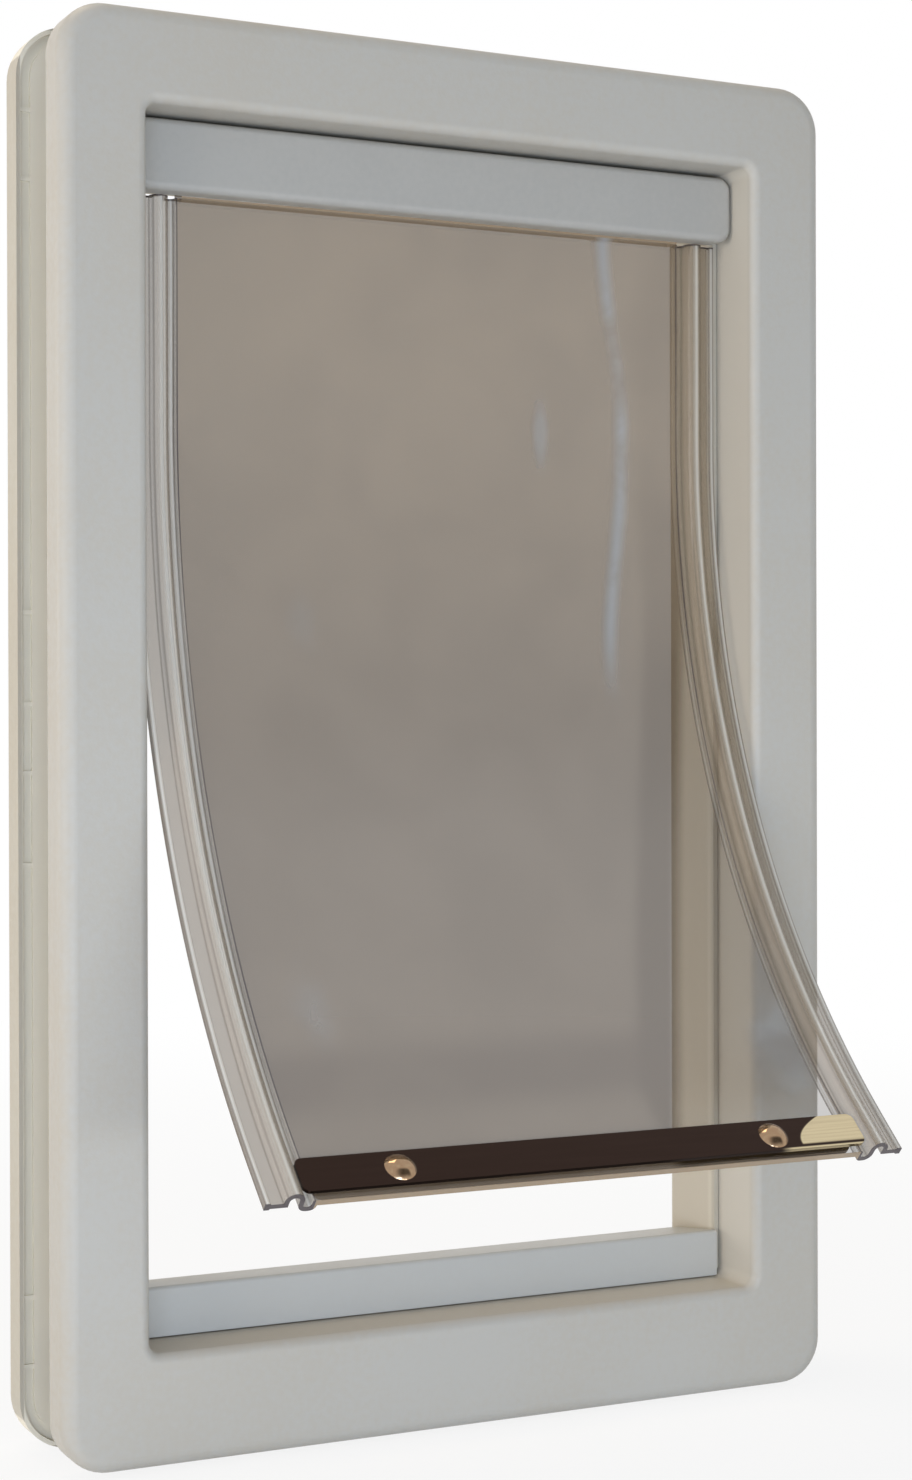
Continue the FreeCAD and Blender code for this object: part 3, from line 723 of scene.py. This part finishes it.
class CATFLAP_OT_flap(bpy.types.Operator):
    """Model the vinyl flap with its side profiles, curl and bead"""
    bl_idname = "catflap.flap"
    bl_label = "Flap"

    def execute(self, context):
        size = context.scene.catflap_flap
        top = BAR_LOW.z - size.bar_gap
        body = mesh_from(flap_body(size, top), "flap_body")
        bead = mesh_from(flap_bead(size), "flap_bead")
        piece = joined(body, bead, "flap_vinyl")
        soften(piece.data, size)
        piece.data.materials.clear()
        piece.data.materials.append(vinyl_material(size, context.scene.catflap_vinyl))
        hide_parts("flap")
        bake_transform(piece)
        return {"FINISHED"}


class CATFLAP_OT_metal(bpy.types.Operator):
    """Finish the weight strips, rivets, screws and magnet"""
    bl_idname = "catflap.metal"
    bl_label = "Metal pieces"

    def execute(self, context):
        look = context.scene.catflap_metal
        bronze, gold, steel, magnet = (tuple(c) for c in (look.bronze, look.gold, look.steel, look.magnet))
        # Painted reflection at the right end of the front strip.
        mask = painted_reflection_mask(context.scene.catflap_flap)
        dress(["weight_strip_front"], brushed_metal("bronze_strip", bronze, gold, 0.2, mask))
        dress(["weight_strip_rear"], brushed_metal("bronze_back_strip", bronze, gold, 0.18))
        even = (900.0, 900.0, 900.0)
        brass = tuple(look.brass)
        dress(["rivet_left", "rivet_right"], brushed_metal("brass_rivet", brass, gold, 0.12, None, even))
        screws = [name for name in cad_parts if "screw" in name]
        dress(screws, brushed_metal("screw_steel", steel, bronze, 0.3, None, even))
        dress(["sill_magnet"], brushed_metal("magnet_block", magnet, steel, 0.4))
        return {"FINISHED"}


def white_share(tree):
    """1 for the rays that see the background: the camera's, and those that gloss or clear pieces send on."""
    path = tree.nodes.new("ShaderNodeLightPath")
    seen = calc(tree, "MAXIMUM", path.outputs["Is Camera Ray"], path.outputs["Is Glossy Ray"])
    return calc(tree, "MAXIMUM", seen, path.outputs["Is Transmission Ray"])


def studio_world(strength):
    world = bpy.data.worlds.new("studio")
    world.use_nodes = True
    tree = world.node_tree
    tree.nodes.clear()
    light = place(tree, "ShaderNodeBackground", {"Color": (0.93, 0.97, 1.0, 1.0), "Strength": strength})
    white = place(tree, "ShaderNodeBackground", {"Color": (1.0, 1.0, 1.0, 1.0), "Strength": 1.0})
    chosen = place(tree, "ShaderNodeMixShader", {0: white_share(tree), 1: light.outputs[0], 2: white.outputs[0]})
    output = tree.nodes.new("ShaderNodeOutputWorld")
    tree.links.new(chosen.outputs[0], output.inputs["Surface"])
    bpy.context.scene.world = world


def floor_material():
    """Matt white that turns to the plain background away from the object, and keeps the object's shadow."""
    made, tree = new_material("studio_floor")
    position = object_position(tree)
    reach = place(tree, "ShaderNodeVectorMath", {0: position}, operation="LENGTH").outputs["Value"]
    away = remap(tree, reach, 0.22, 1.0, 0.86, 1.0)
    grain = place(tree, "ShaderNodeTexNoise", {"Vector": position, "Scale": 300.0})
    colour = blend_colour(tree, calc(tree, "MULTIPLY", grain.outputs["Fac"], 0.04), (0.95, 0.95, 0.95),
                          (0.9, 0.9, 0.9))
    matt = place(tree, "ShaderNodeBsdfDiffuse", {"Color": colour})
    white = place(tree, "ShaderNodeEmission", {"Color": (1.0, 1.0, 1.0, 1.0), "Strength": 1.0})
    amount = calc(tree, "MULTIPLY", away, white_share(tree))
    mixed = place(tree, "ShaderNodeMixShader", {0: amount, 1: matt.outputs[0], 2: white.outputs[0]})
    output = tree.nodes.new("ShaderNodeOutputMaterial")
    tree.links.new(mixed.outputs[0], output.inputs["Surface"])
    return made


def soft_light(name, power, colour, spot, size, aim):
    """Rectangular lamp that the camera doesn't see."""
    lamp = bpy.data.lights.new(name, "AREA")
    lamp.energy = power
    lamp.color = colour
    lamp.shape = "RECTANGLE"
    lamp.size, lamp.size_y = size
    made = bpy.data.objects.new(name, lamp)
    bpy.context.scene.collection.objects.link(made)
    made.location = spot
    made.rotation_euler = (Vector(aim) - Vector(spot)).to_track_quat("-Z", "Y").to_euler()
    made.visible_camera = False


def dark_card():
    """Dark card in front, seen only in glossy reflections, for contrast in the metal and the vinyl."""
    bm = bmesh.new()
    bmesh.ops.create_grid(bm, x_segments=4, y_segments=4, size=1.0)
    bmesh.ops.scale(bm, verts=bm.verts, vec=(*CARD_HALF, 1.0))
    bmesh.ops.rotate(bm, verts=bm.verts, cent=(0.0, 0.0, 0.0), matrix=Matrix.Rotation(math.pi / 2, 3, "X"))
    bmesh.ops.translate(bm, verts=bm.verts, vec=CARD_SPOT)
    card = bpy.data.objects.new("dark_card", mesh_from(bm, "dark_card"))
    bpy.context.scene.collection.objects.link(card)
    for ray in ("camera", "diffuse", "transmission", "shadow", "volume_scatter"):
        setattr(card, f"visible_{ray}", False)
    made, tree = new_material("dark_felt")
    felt = place(tree, "ShaderNodeTexNoise", {"Vector": object_position(tree), "Scale": 200.0})
    colour = blend_colour(tree, felt.outputs["Fac"], (0.02, 0.017, 0.015), (0.04, 0.035, 0.03))
    parts = place(tree, "ShaderNodeSeparateXYZ", {0: object_position(tree)}).outputs
    across = remap(tree, calc(tree, "ABSOLUTE", calc(tree, "SUBTRACT", parts[0], CARD_SPOT.x)), 2.1, 0.7)
    up = remap(tree, calc(tree, "ABSOLUTE", calc(tree, "SUBTRACT", parts[2], CARD_SPOT.z)), 1.25, 0.3)
    felt_shader = place(tree, "ShaderNodeBsdfDiffuse", {"Color": colour})
    mixed = place(tree, "ShaderNodeMixShader", {0: calc(tree, "MULTIPLY", calc(tree, "MULTIPLY", across, up), 0.85),
                                                1: place(tree, "ShaderNodeBsdfTransparent").outputs[0],
                                                2: felt_shader.outputs[0]})
    output = tree.nodes.new("ShaderNodeOutputMaterial")
    tree.links.new(mixed.outputs[0], output.inputs["Surface"])
    card.data.materials.append(made)


def studio_camera(look):
    camera = bpy.data.cameras.new("camera")
    camera.sensor_fit = "VERTICAL"
    camera.sensor_height = 36.0
    camera.lens = look.lens
    camera.clip_start, camera.clip_end = 0.01, 60.0
    forward = Vector((math.sin(look.yaw) * math.cos(look.pitch), math.cos(look.yaw) * math.cos(look.pitch),
                      math.sin(look.pitch)))
    level = Vector((math.cos(look.yaw), -math.sin(look.yaw), 0.0))
    upright = level.cross(forward)
    right = level * math.cos(look.roll) + upright * math.sin(look.roll)
    up = upright * math.cos(look.roll) - level * math.sin(look.roll)
    made = bpy.data.objects.new("camera", camera)
    bpy.context.scene.collection.objects.link(made)
    turned = Matrix((right, up, -forward)).transposed().to_4x4()
    made.matrix_world = Matrix.Translation((look.camera_x, look.camera_y, look.camera_z)) @ turned
    bpy.context.scene.camera = made


class CATFLAP_OT_stage(bpy.types.Operator):
    """Set up the floor, the light and the camera"""
    bl_idname = "catflap.stage"
    bl_label = "Stage"

    def execute(self, context):
        look = context.scene.catflap_stage
        bm = bmesh.new()
        bmesh.ops.create_grid(bm, x_segments=8, y_segments=8, size=20.0)
        bmesh.ops.translate(bm, verts=bm.verts, vec=(0.0, 0.0, cad_low.z - FLOOR_GAP))
        floor = bpy.data.objects.new("floor", mesh_from(bm, "floor"))
        context.scene.collection.objects.link(floor)
        floor.data.materials.append(floor_material())
        studio_world(look.ambient)
        for name, colour, spot, extent, aim in LAMPS:
            soft_light(name, getattr(look, name + "_power"), colour, spot, extent, aim)
        dark_card()
        studio_camera(look)
        context.scene.view_settings.view_transform = "Standard"
        return {"FINISHED"}


STEPS = (
    CATFLAP_OT_stage,
    CATFLAP_OT_effects,
    CATFLAP_OT_frames,
    CATFLAP_OT_bars,
    CATFLAP_OT_flap,
    CATFLAP_OT_metal,
)
GROUPS = {
    "catflap_flap": FlapSizes,
    "catflap_vinyl": VinylLook,
    "catflap_plastic": PlasticLook,
    "catflap_metal": MetalLook,
    "catflap_stage": StageLook,
}


class CATFLAP_PT_panel(bpy.types.Panel):
    """Steps and settings of the cat flap"""
    bl_idname = "CATFLAP_PT_panel"
    bl_label = "Cat flap"
    bl_space_type = "VIEW_3D"
    bl_region_type = "UI"
    bl_category = "Cat flap"

    def draw(self, context):
        for step in STEPS:
            self.layout.operator(step.bl_idname)
        for name, group in GROUPS.items():
            box = self.layout.box()
            for field in group.__annotations__:
                box.prop(getattr(context.scene, name), field)


CLASSES = (*GROUPS.values(), *STEPS, CATFLAP_PT_panel)


def register():
    for cls in CLASSES:
        bpy.utils.register_class(cls)
    for name, group in GROUPS.items():
        setattr(bpy.types.Scene, name, bpy.props.PointerProperty(type=group))


def unregister():
    for name in GROUPS:
        delattr(bpy.types.Scene, name)
    for cls in reversed(CLASSES):
        bpy.utils.unregister_class(cls)


def main():
    register()
    bpy.ops.catflap.stage()
    bpy.ops.catflap.effects()
    bpy.ops.catflap.frames()
    bpy.ops.catflap.bars()
    bpy.ops.catflap.flap()
    bpy.ops.catflap.metal()


if __name__ == "__main__":
    main()
